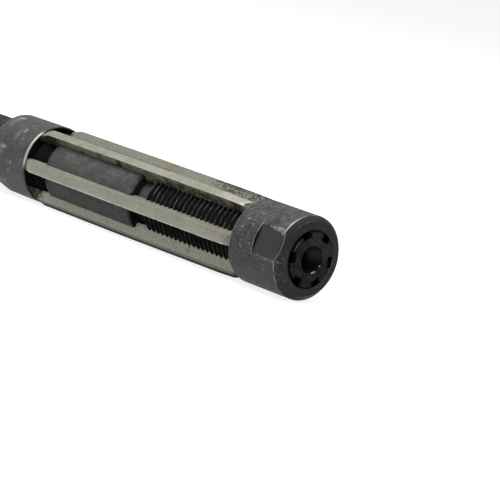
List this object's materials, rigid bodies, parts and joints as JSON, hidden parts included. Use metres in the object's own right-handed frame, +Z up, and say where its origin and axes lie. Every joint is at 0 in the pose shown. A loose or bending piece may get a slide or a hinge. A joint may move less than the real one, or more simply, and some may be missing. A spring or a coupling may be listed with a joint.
{
  "type": "adjustable hand reamer",
  "caption": "Adjustable hand reamer: a slotted, threaded steel body with loose straight blades held between nuts, which push them along rising slots to change the cutting diameter.",
  "frame": {"origin": "centre of the body's front face, on the tool's axis", "axes": "+X along the axis towards the cutting end, +Z up with the tool lying on its nuts"},
  "size_m": [0.1927, 0.0188, 0.0184],
  "materials": {
    "body_steel": "black oxide steel, worn grey on the plain part",
    "black_nut": "black oxide steel with pale scratches and bare worn rims",
    "grey_nut": "dark grey oxide steel, satin, with a bare front rim",
    "blade_steel": "ground tool steel with light rust stains"
  },
  "bodies": {
    "body": {"body": "body_steel"},
    "front_nut": {"front_nut": "black_nut"},
    "rear_nut": {"rear_nut": "grey_nut"},
    "blade_1": {"blade_1": "blade_steel"},
    "blade_2": {"blade_2": "blade_steel"},
    "blade_3": {"blade_3": "blade_steel"},
    "blade_4": {"blade_4": "blade_steel"},
    "blade_5": {"blade_5": "blade_steel"},
    "blade_6": {"blade_6": "blade_steel"}
  },
  "joints": [
    {"name": "front_nut_travel", "type": "slide", "parent": "body", "child": "front_nut", "axis": [-1, 0, 0], "range_m": [0, 0.03]},
    {"name": "rear_nut_travel", "type": "slide", "parent": "body", "child": "rear_nut", "axis": [-1, 0, 0], "range_m": [0, 0.036]},
    {"name": "blade_1_slide", "type": "slide", "parent": "body", "child": "blade_1", "axis": [-0.9996, -0.0266, -0.0047], "range_m": [0, 0.03301]},
    {"name": "blade_2_slide", "type": "slide", "parent": "body", "child": "blade_2", "axis": [-0.9996, -0.0173, 0.0207], "range_m": [0, 0.03301]},
    {"name": "blade_3_slide", "type": "slide", "parent": "body", "child": "blade_3", "axis": [-0.9996, 0.0092, 0.0254], "range_m": [0, 0.03301]},
    {"name": "blade_4_slide", "type": "slide", "parent": "body", "child": "blade_4", "axis": [-0.9996, 0.0266, 0.0047], "range_m": [0, 0.03301]},
    {"name": "blade_5_slide", "type": "slide", "parent": "body", "child": "blade_5", "axis": [-0.9996, 0.0173, -0.0207], "range_m": [0, 0.03301]},
    {"name": "blade_6_slide", "type": "slide", "parent": "body", "child": "blade_6", "axis": [-0.9996, -0.0092, -0.0254], "range_m": [0, 0.03301]}
  ],
  "couplings": [
    {"joint": "rear_nut_travel", "follows": "front_nut_travel", "ratio": 1.2},
    {"joint": "blade_1_slide", "follows": "front_nut_travel", "ratio": 1.1004},
    {"joint": "blade_2_slide", "follows": "front_nut_travel", "ratio": 1.1004},
    {"joint": "blade_3_slide", "follows": "front_nut_travel", "ratio": 1.1004},
    {"joint": "blade_4_slide", "follows": "front_nut_travel", "ratio": 1.1004},
    {"joint": "blade_5_slide", "follows": "front_nut_travel", "ratio": 1.1004},
    {"joint": "blade_6_slide", "follows": "front_nut_travel", "ratio": 1.1004}
  ]
}
